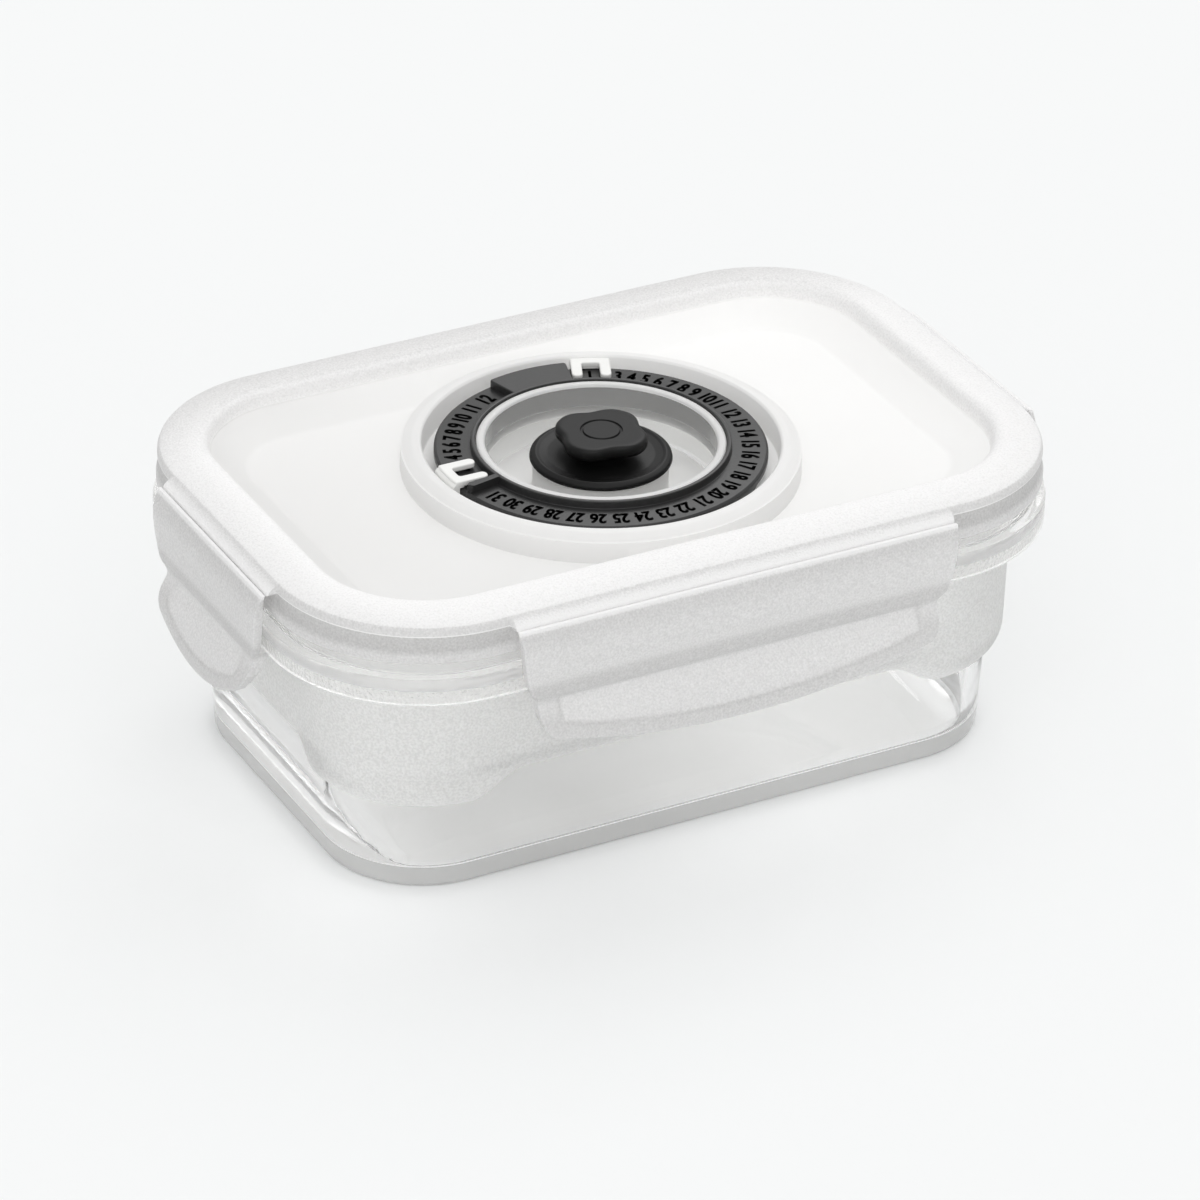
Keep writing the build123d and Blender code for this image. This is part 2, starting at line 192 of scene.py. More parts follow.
def follow(path, z):
    """Read a height table of offsets, straight between its points. Heights go down."""
    for (high, first), (low, second) in zip(path, path[1:]):
        if z >= low:
            return mix(first, second, (high - z) / (high - low) if high > low else 0.0)
    return path[-1][1]


# Meshes

merge_distance = 0.002


def new_object(name, vertices, faces, materials, sharp=40.0, slots=None, tones=None):
    """A mesh object from points in millimetres. slots gives each face its material number.

    tones gives each point its painted light and shade, mostly from 0 to 1.
    """
    mesh = bpy.data.meshes.new(name)
    mesh.from_pydata([tuple(c * MM for c in v) for v in vertices], [], faces)
    for material in materials:
        mesh.materials.append(material)
    if slots:
        for polygon, slot in zip(mesh.polygons, slots):
            polygon.material_index = slot
    if tones:
        layer = mesh.attributes.new("tone", "FLOAT", "POINT")
        layer.data.foreach_set("value", tones)
    tidy(mesh, sharp)
    return link_new(name, mesh)


def link_new(name, data):
    """A new object in the scene for a mesh, a curve, a lamp or a camera."""
    new = bpy.data.objects.new(name, data)
    bpy.context.scene.collection.objects.link(new)
    return new


def tidy(mesh, sharp):
    """Merge doubles, turn the faces outwards and shade smooth up to the given angle."""
    work = bmesh.new()
    work.from_mesh(mesh)
    bmesh.ops.remove_doubles(work, verts=work.verts, dist=merge_distance * MM)
    bmesh.ops.dissolve_degenerate(work, edges=work.edges, dist=merge_distance * MM)
    bmesh.ops.recalc_face_normals(work, faces=work.faces)
    work.to_mesh(mesh)
    work.free()
    for polygon in mesh.polygons:
        polygon.use_smooth = True
    mesh.set_sharp_from_angle(angle=math.radians(sharp))


def skin(name, loops, materials, sharp=40.0, joined=True, row_slots=None, tones=None):
    """An object whose surface runs over loops of points, each a closed ring.

    The last loop is joined to the first, or else both ends are capped. row_slots gives
    each row of faces its material number.
    """
    count = len(loops[0])
    rows = len(loops) if joined else len(loops) - 1
    vertices = [point for loop in loops for point in loop]
    faces = []
    for row in range(rows):
        here = row * count
        there = (row + 1) % len(loops) * count
        for i in range(count):
            j = (i + 1) % count
            faces.append((here + i, here + j, there + j, there + i))
    face_rows = [row for row in range(rows) for i in range(count)]
    if not joined:
        last = (len(loops) - 1) * count
        faces.append(tuple(range(count)))
        faces.append(tuple(last + i for i in reversed(range(count))))
        face_rows += [0, rows - 1]
    slots = [row_slots[row] for row in face_rows] if row_slots else None
    return new_object(name, vertices, faces, materials, sharp, slots, tones)


def swept_loops(profile_of):
    """Loops round the box from a profile that may change from station to station."""
    profiles = [profile_of(station) for station in STATIONS]
    return [
        [station.point(*profile[row]) for station, profile in zip(STATIONS, profiles)]
        for row in range(len(profiles[0]))
    ]


def circle_loop(radius, z, angles):
    return [(*polar(radius, a), hinge_height + z) for a in angles]


def even_angles(count):
    return [TURN * i / count for i in range(count)]


def prism(name, outline, low_z, high_z, materials):
    """A solid with a flat outline between two heights."""
    count = len(outline)
    vertices = [(x, y, hinge_height + z) for z in (low_z, high_z) for x, y in outline]
    faces = [tuple(reversed(range(count))), tuple(range(count, 2 * count))]
    for i in range(count):
        j = (i + 1) % count
        faces.append((i, j, count + j, count + i))
    return new_object(name, vertices, faces, materials, sharp=35.0)


def place(piece, body, slot, *nodes):
    """Say which body a piece rides on and which solids it stands for. The finish given as slot is
    not used.
    """
    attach(piece, body)
    if nodes:
        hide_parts(*nodes)


def bevel(piece, width, angle=35.0):
    modifier = piece.modifiers.new("edges", "BEVEL")
    modifier.width = width * MM
    modifier.segments = 3
    modifier.limit_method = "ANGLE"
    modifier.angle_limit = math.radians(angle)
    return piece


def turn_mesh(piece, angle):
    piece.data.transform(Matrix.Rotation(math.radians(angle), 4, "Z"))


# Materials

SHADER_INPUTS = {
    "roughness": "Roughness",
    "specular": "Specular IOR Level",
    "transmission": "Transmission Weight",
    "ior": "IOR",
}
# The tint of the light that a milky plastic lets out on its far side
milky_tint = (0.93, 0.928, 0.922, 1)


class Finish:
    """A material that is put together from small procedural parts."""

    def __init__(self, name):
        self.material = bpy.data.materials.new(name)
        self.material.use_nodes = True
        self.nodes = self.material.node_tree.nodes
        self.links = self.material.node_tree.links
        self.shader = self.nodes["Principled BSDF"]

    def set_levels(self, **levels):
        for name, level in levels.items():
            self.shader.inputs[SHADER_INPUTS[name]].default_value = level

    def scatter(self, share, depth):
        """Let a share of the light travel a little way inside the plastic."""
        self.shader.inputs["Subsurface Weight"].default_value = share
        self.shader.inputs["Subsurface Radius"].default_value = (depth, depth, depth)
        self.shader.inputs["Subsurface Scale"].default_value = 1.0

    def noise(self, scale):
        """Noise in the object's own space."""
        where = self.nodes.new("ShaderNodeTexCoord")
        noise = self.nodes.new("ShaderNodeTexNoise")
        noise.inputs["Scale"].default_value = scale
        self.links.new(where.outputs["Object"], noise.inputs["Vector"])
        return noise

    def grain(self, scale, depth, strength, detail=3.0):
        """A fine moulded grain: noise that drives a bump."""
        noise = self.noise(scale)
        noise.inputs["Detail"].default_value = detail
        noise.inputs["Roughness"].default_value = 0.55
        bump = self.nodes.new("ShaderNodeBump")
        bump.inputs["Distance"].default_value = depth * MM
        bump.inputs["Strength"].default_value = strength
        self.links.new(noise.outputs["Fac"], bump.inputs["Height"])
        self.links.new(bump.outputs["Normal"], self.shader.inputs["Normal"])

    def ramp(self, level, low, high, start=0.0, end=1.0):
        """The colour goes from low to high as a level goes from start to end."""
        ramp = self.nodes.new("ShaderNodeValToRGB")
        stops = zip(ramp.color_ramp.elements, (start, end), (low, high))
        for element, position, colour in stops:
            element.position = position
            element.color = (*colour, 1)
        self.links.new(level, ramp.inputs["Fac"])
        self.links.new(ramp.outputs["Color"], self.shader.inputs["Base Color"])

    def mottle(self, low, high, scale, spread=0.5):
        """A change of tone over the surface. A smaller spread gives a sharper speckle."""
        self.ramp(self.noise(scale).outputs["Fac"], low, high, 0.5 - spread, 0.5 + spread)

    def follow_tone(self, dark, light, scale, mottling):
        """The colour follows the painted light and shade in the tone of the mesh, with a slight
        mottle.
        """
        tone = self.nodes.new("ShaderNodeAttribute")
        tone.attribute_name = "tone"
        centred = self.nodes.new("ShaderNodeMath")
        centred.operation = "SUBTRACT"
        centred.inputs[1].default_value = 0.5
        mottled = self.nodes.new("ShaderNodeMath")
        mottled.operation = "MULTIPLY_ADD"
        mottled.inputs[1].default_value = mottling
        self.links.new(self.noise(scale).outputs["Fac"], centred.inputs[0])
        self.links.new(centred.outputs["Value"], mottled.inputs[0])
        self.links.new(tone.outputs["Fac"], mottled.inputs[2])
        self.ramp(mottled.outputs["Value"], dark, light)

    def blend(self, share, first, second):
        """A shader that mixes two others. The share is a number or another node's output."""
        mixer = self.nodes.new("ShaderNodeMixShader")
        if isinstance(share, float):
            mixer.inputs["Fac"].default_value = share
        else:
            self.links.new(share, mixer.inputs["Fac"])
        self.links.new(first, mixer.inputs[1])
        self.links.new(second, mixer.inputs[2])
        return mixer.outputs["Shader"]

    def let_light_through(self, passed, glow=0.0):
        """Lamps and sky shine through the plastic, less its tint, so no dark shadow falls in it.

        glow is the share of the light on its far side that a milky wall scatters to this side.
        """
        path = self.nodes.new("ShaderNodeLightPath")
        through = self.nodes.new("ShaderNodeBsdfTransparent")
        through.inputs["Color"].default_value = (passed, passed, passed, 1)
        surface = self.shader.outputs["BSDF"]
        if glow:
            far_side = self.nodes.new("ShaderNodeBsdfTranslucent")
            far_side.inputs["Color"].default_value = milky_tint
            surface = self.blend(glow, surface, far_side.outputs["BSDF"])
        surface = self.blend(path.outputs["Is Shadow Ray"], surface, through.outputs["BSDF"])
        self.links.new(surface, self.nodes["Material Output"].inputs["Surface"])


def new_finish(
    name, mottle=None, grain=None, tone=None, scatter=None, passed=0.0, glow=0.0, **levels
):
    """A material from the values that each of its parts takes."""
    finish = Finish(name)
    if passed:
        finish.let_light_through(passed, glow)
    if mottle:
        finish.mottle(*mottle)
    if tone:
        finish.follow_tone(*tone)
    finish.set_levels(**levels)
    if scatter:
        finish.scatter(*scatter)
    if grain:
        finish.grain(*grain)
    return finish.material


# The panel's colour follows the painted light of the tray
def panel_plastic(name, glow):
    return new_finish(
        name, tone=((0.8, 0.797, 0.79), (0.99, 0.987, 0.98), 25, 0.1), grain=(90, 0.02, 0.06),
        scatter=(0.3, 0.004), passed=0.93, glow=glow,
        transmission=0.06, roughness=0.4, specular=0.25, ior=1.49,
    )


# The colour follows the painted shade of the box's floor
CLEAR = new_finish(
    "clear_plastic", tone=((0.86, 0.857, 0.85), (1, 1, 1), 30, 0.03), grain=(60, 0.02, 0.05),
    passed=0.99, transmission=0.97, roughness=0.02, ior=1.45,
)
# The neck and flange: the clear plastic with a slight haze
MISTY = new_finish(
    "misty_plastic", ((0.93, 0.93, 0.925), (0.96, 0.96, 0.955), 60), (400, 0.02, 0.2),
    passed=0.97, transmission=0.8, roughness=0.1, ior=1.3,
)
# The thick foot of the box, where the clear plastic is seen edge on: its colour is painted greyer
# as shade
FOOT = new_finish(
    "foot_plastic", ((0.56, 0.56, 0.555), (0.6, 0.6, 0.595), 60), (60, 0.02, 0.05),
    passed=0.45, transmission=0.35, roughness=0.12, ior=1.4,
)
# The underside of the base, where the clear plastic has a satin face
UNDERSIDE = new_finish(
    "underside_plastic", ((0.93, 0.93, 0.925), (0.96, 0.96, 0.955), 60), (400, 0.02, 0.2),
    passed=0.98, transmission=0.45, roughness=0.2, ior=1.4,
)
BAND = new_finish(
    "frosted_band", ((0.8, 0.8, 0.79), (0.99, 0.99, 0.98), 2300, 0.12), (1700, 0.35, 1.0, 1.5),
    passed=0.92, glow=0.28, transmission=0.45, roughness=0.42, ior=1.4,
)
# The colour follows the painted light and shade of the rim and flaps, and is white in the painted
# highlight rows of the box
FROSTED = new_finish(
    "frosted_plastic", tone=((0.5, 0.495, 0.49), (0.99, 0.985, 0.985), 2600, 0.8),
    grain=(2800, 0.16, 1.0, 1.5), scatter=(0.25, 0.003), passed=0.94, glow=0.14,
    transmission=0.08, roughness=0.5, specular=0.3,
)
PANEL = panel_plastic("lid_panel_plastic", 0.25)
WELL = panel_plastic("lid_well_plastic", 0.5)
# The same plastic as the panel, thin and clear enough to show the dark ring behind it
HUB = new_finish(
    "lid_hub_plastic", ((0.93, 0.93, 0.92), (0.95, 0.95, 0.94), 25), (90, 0.02, 0.06),
    passed=0.98, glow=0.04, transmission=0.8, roughness=0.12, ior=1.3,
)
GASKET = new_finish(
    "gasket_silicone", ((0.8, 0.8, 0.79), (0.86, 0.86, 0.85), 200), (900, 0.03, 0.3),
    passed=0.97, roughness=0.5,
)
RING = new_finish(
    "ring_plastic", ((0.013, 0.013, 0.013), (0.024, 0.024, 0.024), 1500), (3500, 0.03, 0.5),
    roughness=0.36, specular=0.5,
)
INK = new_finish(
    "figure_ink", ((0.001, 0.001, 0.001), (0.003, 0.003, 0.003), 900),
    roughness=0.6, specular=0.1,
)
POINTER = new_finish(
    "pointer_plastic", ((0.8, 0.8, 0.78), (0.86, 0.86, 0.84), 400), (1200, 0.02, 0.3),
    roughness=0.3,
)
VALVE = new_finish(
    "valve_silicone", ((0.002, 0.002, 0.002), (0.004, 0.004, 0.004), 1100), (2600, 0.02, 0.4),
    roughness=0.45, specular=0.26,
)
FLOOR = new_finish(
    "floor", ((0.848, 0.857, 0.857), (0.857, 0.866, 0.866), 2),
    roughness=0.9, specular=0.0,
)


# Container

base_z = -hinge_height
foot_rise = 4.2
foot_seam = 0.25
foot_inset = 11.28
foot_seam_inset = 11.25
recess_rise = 0.3
recess_inset = 14.3
base_inset = 11.5
wall_inset = 10.6
band_inset = 7.6
band_corner_foot = 17.3
band_side_foot = 21.7
# How far along a short and a long side the band's edge starts to drop and has dropped
band_slope_runs = ((16.5, 22.5), (36.0, 46.0))
band_arc_height = 4.5
band_arc_steps = (1, 1.7, 2.4, 3, 4, 5, 6, 7, 8)
flange_inset = 1.3
flange_skirt_inset = 3.1
flange_groove_z = -10.2
flange_skirt_z = -12.7
flange_seam_z = -9.75
flange_seam_half = 0.15
flange_seam_depth = 0.12
flange_top_z = -7.4
neck_outer_inset = 3.5
neck_inner_inset = 5.3
container_lip_z = -2.9
ledge_z = -8.4
inner_step_top = 27.5
inner_step_foot = 22.0
inner_wall_inset = 12.6
floor_inset = 14.1
floor_end_inset = 25.1
floor_thickness = 3.0
floor_z = floor_thickness - hinge_height
wall_steps = 9
floor_steps = 10
# The floor and the underside run in from the walls as far as this, and are capped there
cap_inset = 28
# The curves that lead the floor up into the two end walls, by their distance from the middle
end_curve = 10.0
end_curve_start = 51.86
end_curve_end = 61.8

# Painted highlights: thin rows over the foot and along the band's lower edge take the lid's white
# finish to show as bright lines
BOX_FINISHES = [CLEAR, BAND, MISTY, FOOT, FROSTED, UNDERSIDE]
CLEAR_SLOT, BAND_SLOT, MISTY_SLOT, FOOT_SLOT, PAINTED_HIGHLIGHT_SLOT, UNDERSIDE_SLOT = range(6)
underside_rows = 3
# The floor is painted grey as shade within this height of its face, from these insets on, up to the
# curves
floor_reach = 0.5
floor_fade = (15.0, 17.5)
curve_fade = 2

# The neck and flange, from the frosted band up over the lip and down to the step inside
neck_path = [
    (7.1, flange_groove_z, 0.6),
    (flange_skirt_inset, flange_groove_z, 0.5),
    (flange_skirt_inset, flange_skirt_z, 0.2),
    (2.0, flange_skirt_z, 0.25),
    (flange_inset, -12.3, 0.2),
    (flange_inset, flange_seam_z - flange_seam_half),
    (flange_inset + flange_seam_depth, flange_seam_z),
    (flange_inset, flange_seam_z + flange_seam_half),
    (flange_inset, flange_top_z, 0.9),
    (neck_outer_inset, flange_top_z, 0.6),
    (neck_outer_inset, container_lip_z, 0.6),
    (neck_inner_inset, container_lip_z, 0.6),
    (neck_inner_inset, ledge_z, 0.5),
    (9.1, ledge_z, 0.8),
    (9.6, inner_step_top - hinge_height, 3.0),
    (inner_wall_inset, inner_step_foot - hinge_height, 3.0),
]


def band_foot(station):
    """The height of the band's lower edge: high along the sides, lower round the corners."""
    start, end = band_slope_runs[station.side % 2]
    return mix(band_side_foot, band_corner_foot, smooth_step(start, end, abs(station.run)))


def foot_path(band_z):
    """The underside with its recess, the foot and the clear wall up to the frosted band."""
    return [
        (cap_inset, base_z + recess_rise),
        (recess_inset, base_z + recess_rise),
        (recess_inset, base_z),
        (base_inset, base_z, 1.4),
        (foot_inset, base_z + foot_rise),
        (foot_seam_inset, base_z + foot_rise + foot_seam),
        (wall_inset, band_z),
    ]


def band_arc(band_z):
    """The rounded lower edge of the frosted band."""
    path = []
    for step in band_arc_steps:
        lean = TURN / 4 * step / band_arc_steps[-1]
        out = (wall_inset - band_inset) * math.sin(lean)
        path.append((wall_inset - out, band_z + band_arc_height * (1 - math.cos(lean))))
    return path


def room_path():
    """The inner wall and the floor. Even steps let the end curves form between them."""
    wall_top = (inner_wall_inset, inner_step_foot - hinge_height)
    wall_foot = (floor_inset, floor_z)
    floor_end = (floor_end_inset, floor_z)
    wall = [mix_point(wall_top, wall_foot, i / wall_steps) for i in range(3, wall_steps)]
    floor = [mix_point(wall_foot, floor_end, i / floor_steps) for i in range(4, floor_steps + 1)]
    return wall + [(*wall_foot, 3.5)] + floor + [(cap_inset, floor_z)]


def container_profile(station):
    band_z = band_foot(station) - hinge_height
    outside = round_path(foot_path(band_z), 6) + band_arc(band_z)
    inside = round_path([(band_inset, band_z + band_arc_height)] + neck_path + room_path(), 5)[1:]
    return outside + [(inset, max(z, end_curve_z(station, inset))) for inset, z in inside]


def end_curve_z(station, inset):
    """The height of the curve that leads the floor up into an end wall."""
    past = abs(station.point(inset, 0)[0]) - end_curve_start
    if past <= 0 or past > end_curve_end - end_curve_start:
        return base_z
    return floor_z + end_curve - math.sqrt(end_curve ** 2 - past ** 2)


def box_slots(loops):
    """The material number of each row of the box, from the underside up and in again."""
    lowest = [min(rise for x, y, rise in loop) for loop in loops]
    outermost = max(range(len(loops)), key=lambda row: max(x for x, y, rise in loops[row]))
    wall_row = next(row for row, rise in enumerate(lowest) if rise > foot_rise + 0.1)
    band_row = wall_row + 1
    misty_rise = hinge_height + flange_groove_z - 0.1
    slots = []
    for row, above in enumerate(lowest[1:]):
        if above > misty_rise:
            slots.append(MISTY_SLOT)
        # Painted highlights: these two rows take the lid's white finish to show as bright lines
        elif row in (wall_row - 1, band_row + 2):
            slots.append(PAINTED_HIGHLIGHT_SLOT)
        elif row < underside_rows:
            slots.append(UNDERSIDE_SLOT)
        elif row < wall_row:
            slots.append(FOOT_SLOT)
        else:
            slots.append(BAND_SLOT if band_row <= row < outermost else CLEAR_SLOT)
    return slots


def box_tone(x, y, rise):
    """Painted shade on the box: its flat floor is painted a little greyer than its walls."""
    if abs(rise - floor_thickness) >= floor_reach:
        return 1.0
    past_curve = smooth_step(end_curve_start, end_curve_start + curve_fade, abs(x))
    return 1.0 - smooth_step(*floor_fade, inset_at(x, y)) * (1 - past_curve)


def make_container():
    loops = swept_loops(container_profile)
    tones = [box_tone(*point) for loop in loops for point in loop]
    piece = skin(
        "canister_box", loops, BOX_FINISHES,
        sharp=50.0, joined=False, row_slots=box_slots(loops), tones=tones,
    )
    place(piece, "container", "clear_plastic", "container_body")


# Lid frame, with the strips that carry the flaps

groove_outer_inset = 3.1
groove_roof_z = -0.3
lid_wall_inset = 2.34
lid_skirt_inset = 1.95
lid_skirt_z = -4.6
skirt_step_z = -3.3
skirt_band_z = -2.3
web_foot_z = -0.25
rib_outer_inset = 5.9
rib_inner_inset = 7.2
rib_foot_z = -5.2
dome_roof_z = 1.7
lid_seam_inset = 11.4
lid_seam_z = 0.36
tray_edge_inset = 9.9
rim_seam_z = 0.35
rim_seam_half = 0.07
# The blend at the end of a flap, from a little inside its end to a little outside
flap_end_fade = (-0.4, 0.5)
# Painted light and shade of the rim, over 1 where a thin edge or a seam is painted bright as a
# highlight
edge_tone = 1.2
painted_light_tone = 1.3
crest_tone = 0.95
crest_shade = 0.4
tray_edge_tone = 0.9
groove_tone = 0.6
# The painted shade of the outer wall under and over its seam, first past a flap and then behind it
low_wall_tones = (0.2, 0.36)
high_wall_tones = (0.5, 0.6)
# Painted shade on the skirt under the rim
skirt_tone = 0.5
# Where these tones hold, by inset or by height
under_dome_inset = 5.5
under_dome_z = 3.0
hinge_strip_inset = 1.0
dome_fade = (1.8, 2.05)

# The outer wall of the rim past the flaps, with its thin seam, and where a flap hangs on it
corner_wall = [
    (lid_wall_inset, skirt_band_z, 0.3),
    (lid_wall_inset, 0.22),
    (lid_wall_inset, 0.3),
    (2.2, 0.4),
    (2.2, 0.6),
    (2.24, 1.0),
]
flap_wall = [
    (lid_wall_inset, skirt_band_z, 0.3),
    (lid_wall_inset, web_foot_z),
    (0.58, web_foot_z),
    (0.55, 0.0),
    (0.6, 0.2),
    (0.9, 0.5),
]
skirt_path = [
    (groove_outer_inset, groove_roof_z),
    (groove_outer_inset, lid_skirt_z, 0.2),
    (lid_skirt_inset, lid_skirt_z, 0.25),
    (lid_skirt_inset, skirt_step_z, 0.15),
]
dome_path = [
    (2.62, 1.85),
    (2.78, 2.0),
    (3.1, 2.2),
    (4.1, 2.72),
    (5.4, 3.1),
    (7.2, 3.36),
    (8.9, 3.4),
    (9.8, 3.22),
    (10.5, 2.82),
    (11.0, 2.2),
    (11.15, 1.5),
    (lid_seam_inset, lid_seam_z),
]
# Under the dome: the rib that closes the groove of the gasket
rib_path = [
    (tray_edge_inset, lid_seam_z),
    (9.6, dome_roof_z),
    (rib_inner_inset, dome_roof_z),
    (rib_inner_inset, rib_foot_z),
    (rib_outer_inset, rib_foot_z),
    (rib_outer_inset, groove_roof_z),
]


def past_flap(station):
    """0 where a flap hangs on the rim and 1 past its end, with a short blend between them."""
    start, end = (station.flap_half + shift for shift in flap_end_fade)
    return smooth_step(start, end, abs(station.run))


def lid_profile(station):
    pairs = zip(flap_wall, corner_wall)
    wall = [mix_point(first, second, past_flap(station)) for first, second in pairs]
    return round_path(skirt_path + wall + [(2.45, 1.6)], 4) + dome_path + rib_path


def lid_tone(station, inset, z):
    """Painted light and shade on the rim: white on its dome, painted greyer down its outer wall as
    shade.
    """
    # Painted shade in the groove under the dome and a little on the tray's edge, and a painted
    # highlight on the hinge strip
    if inset > under_dome_inset and z < under_dome_z:
        return tray_edge_tone if inset > tray_edge_inset - 0.1 else groove_tone
    if inset < hinge_strip_inset:
        return edge_tone
    return mix(wall_tone(station, z), dome_tone(station), smooth_step(*dome_fade, z))


def wall_tone(station, z):
    """The painted shade of the outer wall: dark under its seam, which has a painted highlight past
    the flaps.
    """
    at_flap = 1 - past_flap(station)
    tone = mix(*(low_wall_tones if z < rim_seam_z else high_wall_tones), at_flap)
    if abs(z - rim_seam_z) < rim_seam_half:
        tone = mix(painted_light_tone, tone, at_flap)
    return skirt_tone if z < skirt_step_z + 0.3 else tone


def dome_tone(station):
    """The painted shade of the dome: a little darker towards the back."""
    return crest_tone - crest_shade * max(0.0, station.normal[1])


def make_lid_frame():
    profiles = [lid_profile(station) for station in STATIONS]
    tones = [
        lid_tone(station, *profile[row])
        for row in range(len(profiles[0]))
        for station, profile in zip(STATIONS, profiles)
    ]
    piece = skin("lid_rim", swept_loops(lid_profile), [FROSTED], sharp=45.0, tones=tones)
    hinges = [f"living_hinge_{side}" for side in SIDES]
    place(piece, "lid", "frosted_plastic", "lid_frame", *hinges)


# Lid panel: tray, collar, trough, hub with its well, and the boss under the valve

panel_thickness = 1.6
panel_floor_z = -3.3
panel_under_z = panel_floor_z - panel_thickness
border_inset = 11.5
border_z = 0.1
border_foot_inset = 17.9
tray_flat_inset = 19.5
# The tray is swept round the box down to this radius, and turned round the middle inside it
tray_stop_radius = 36.0
collar_foot_radius = 35.3
collar_inner = 31.5
hub_outer = 22.0
hub_inner = 20.4
hub_lip_z = 1.75
well_floor_z = -8.4
well_under_z = well_floor_z - panel_thickness
boss_radius = 12.0
boss_inner = boss_radius - panel_thickness
boss_top_z = -2.2
boss_under_z = boss_top_z - panel_thickness
stem_hole = 2.1

# Painted light of the middle and the tray. The slants say how much lighter the right and back are
# painted
middle_tone = 0.5
tray_level = 0.42
tray_slant = 0.36
border_level = 0.1
border_slant = 0.5
slant_x = 0.75
slant_y = 0.6
slant_reach = 45.0
well_tone_z = -7.0
border_tone_z = -2.6

PANEL_FINISHES = [PANEL, HUB, WELL]
PANEL_SLOT, HUB_SLOT, WELL_SLOT = range(3)

tray_path = [
    (tray_edge_inset, lid_seam_z),
    (11.42, lid_seam_z, 0.1),
    (border_inset, border_z, 0.15),
    (border_foot_inset, panel_floor_z, 4.0),
    (tray_flat_inset, panel_floor_z),
]
# By radius: over the collar, along the trough, over the hub, down the well and over the
# boss, through the hole for the stem and back below
middle_path = [
    (35.2, 0.62),
    (34.85, 0.67, 0.05),
    (34.4, 0.95, 0.5),
    (33.2, 1.6, 2.0),
    (31.9, 1.8, 0.4),
    (collar_inner, 1.4, 0.4),
    (collar_inner, panel_floor_z, 0.3),
    (hub_outer, panel_floor_z, 0.3),
    (hub_outer, hub_lip_z, 0.6),
    (hub_inner, hub_lip_z, 0.6),
    (20.3, well_floor_z, 1.2),
    (boss_radius, well_floor_z, 0.6),
    (boss_radius, boss_top_z, 0.5),
    (stem_hole, boss_top_z, 0.2),
    (stem_hole, boss_under_z, 0.2),
    (boss_inner, boss_under_z, 0.4),
    (boss_inner, well_under_z, 0.3),
    (hub_outer, well_under_z, 0.5),
    (hub_outer, panel_under_z, 0.5),
    (35.0, panel_under_z),
]
under_path = [
    (18.2, panel_under_z, 1.0),
    (lid_seam_inset, -1.3, 0.5),
    (tray_edge_inset, -1.3),
]


def make_lid_panel():
    tray = round_path(tray_path, 5)
    under = round_path(under_path + [(tray_edge_inset, lid_seam_z)], 4)[:-1]
    loops = swept_loops(lambda station: clipped(tray, station.inset_at_radius(tray_stop_radius)))
    angles = [math.atan2(y, x) for x, y, z in loops[-1]]
    loops.append([border_point(collar_foot_radius, angle) for angle in angles])
    loops += [circle_loop(radius, z, angles) for radius, z in round_path(middle_path, 4)]
    loops += swept_loops(lambda station: clipped(under, station.inset_at_radius(tray_stop_radius)))
    row_slots = [panel_slot(loop) for loop in loops]
    tones = [tray_tone(*point) for loop in loops for point in loop]
    piece = skin("lid_tray", loops, PANEL_FINISHES, row_slots=row_slots, tones=tones)
    place(piece, "lid", "lid_panel_plastic", "lid_panel")


def panel_slot(loop):
    """The material number of the row that starts at a loop: on the hub, in the well or tray."""
    radius = max(math.hypot(x, y) for x, y, z in loop)
    z = loop[0][2] - hinge_height
    if hub_inner - 0.2 < radius < hub_outer + 0.1 and z < 1.2:
        return HUB_SLOT
    if radius < hub_inner - 0.15 and z < -2.0:
        return WELL_SLOT
    return PANEL_SLOT


def border_height(x, y):
    """The height of the tray at a point outside the collar: a flat floor with a sloped border."""
    share = (inset_at(x, y) - border_inset) / (border_foot_inset - border_inset)
    return mix(border_z, panel_floor_z, limited(share, 0.0, 1.0))


def border_point(radius, angle):
    x, y = polar(radius, angle)
    return (x, y, hinge_height + border_height(x, y))


def tray_tone(x, y, rise):
    """Painted light on the tray: painted lighter to the right and back, and lightest in the well.
    """
    z = rise - hinge_height
    radius = math.hypot(x, y)
    if radius < hub_inner + 0.2 and z < well_tone_z:
        return painted_light_tone
    if radius < tray_stop_radius + 0.5 and z > panel_floor_z + 0.1:
        return middle_tone
    if z > border_z + 0.2:
        return painted_light_tone
    right_and_back = limited((x * slant_x + y * slant_y) / slant_reach, -1.0, 1.0)
    border = smooth_step(panel_floor_z, border_tone_z, z)
    tone = tray_level + tray_slant * right_and_back
    return tone + border * (border_level + border_slant * right_and_back)


# Gasket

gasket_inner_inset = 5.8
gasket_outer_inset = 3.2
gasket_foot_z = -2.55


def make_gasket():
    profile = round_path([
        (gasket_inner_inset, groove_roof_z),
        (gasket_inner_inset, gasket_foot_z, 0.4),
        (gasket_outer_inset, gasket_foot_z, 0.4),
        (gasket_outer_inset, groove_roof_z),
    ], 4)
    piece = skin("seal_ring", swept_loops(lambda station: profile), [GASKET])
    place(piece, "lid", "gasket_silicone", "lid_gasket")


# Date ring

ring_inner = 22.1
ring_body_outer = 28.1
ring_outer = 29.35
ring_flange_z = -0.9
ring_top_z = 1.95
track_z = 0.5
ring_segments = 180
# The two raised stops: where each starts and ends in degrees, and its corners' rounding
ring_stops = (
    ("stop_wide", 75.0, 105.5, 0.5),
    ("stop_narrow", 188.4, 191.3, 0.9),
)
stop_inner = 22.5
stop_outer = 29.05
stop_foot_z = 0.1
stop_bevel = 0.22
stop_steps = 12
stop_corner_steps = 4

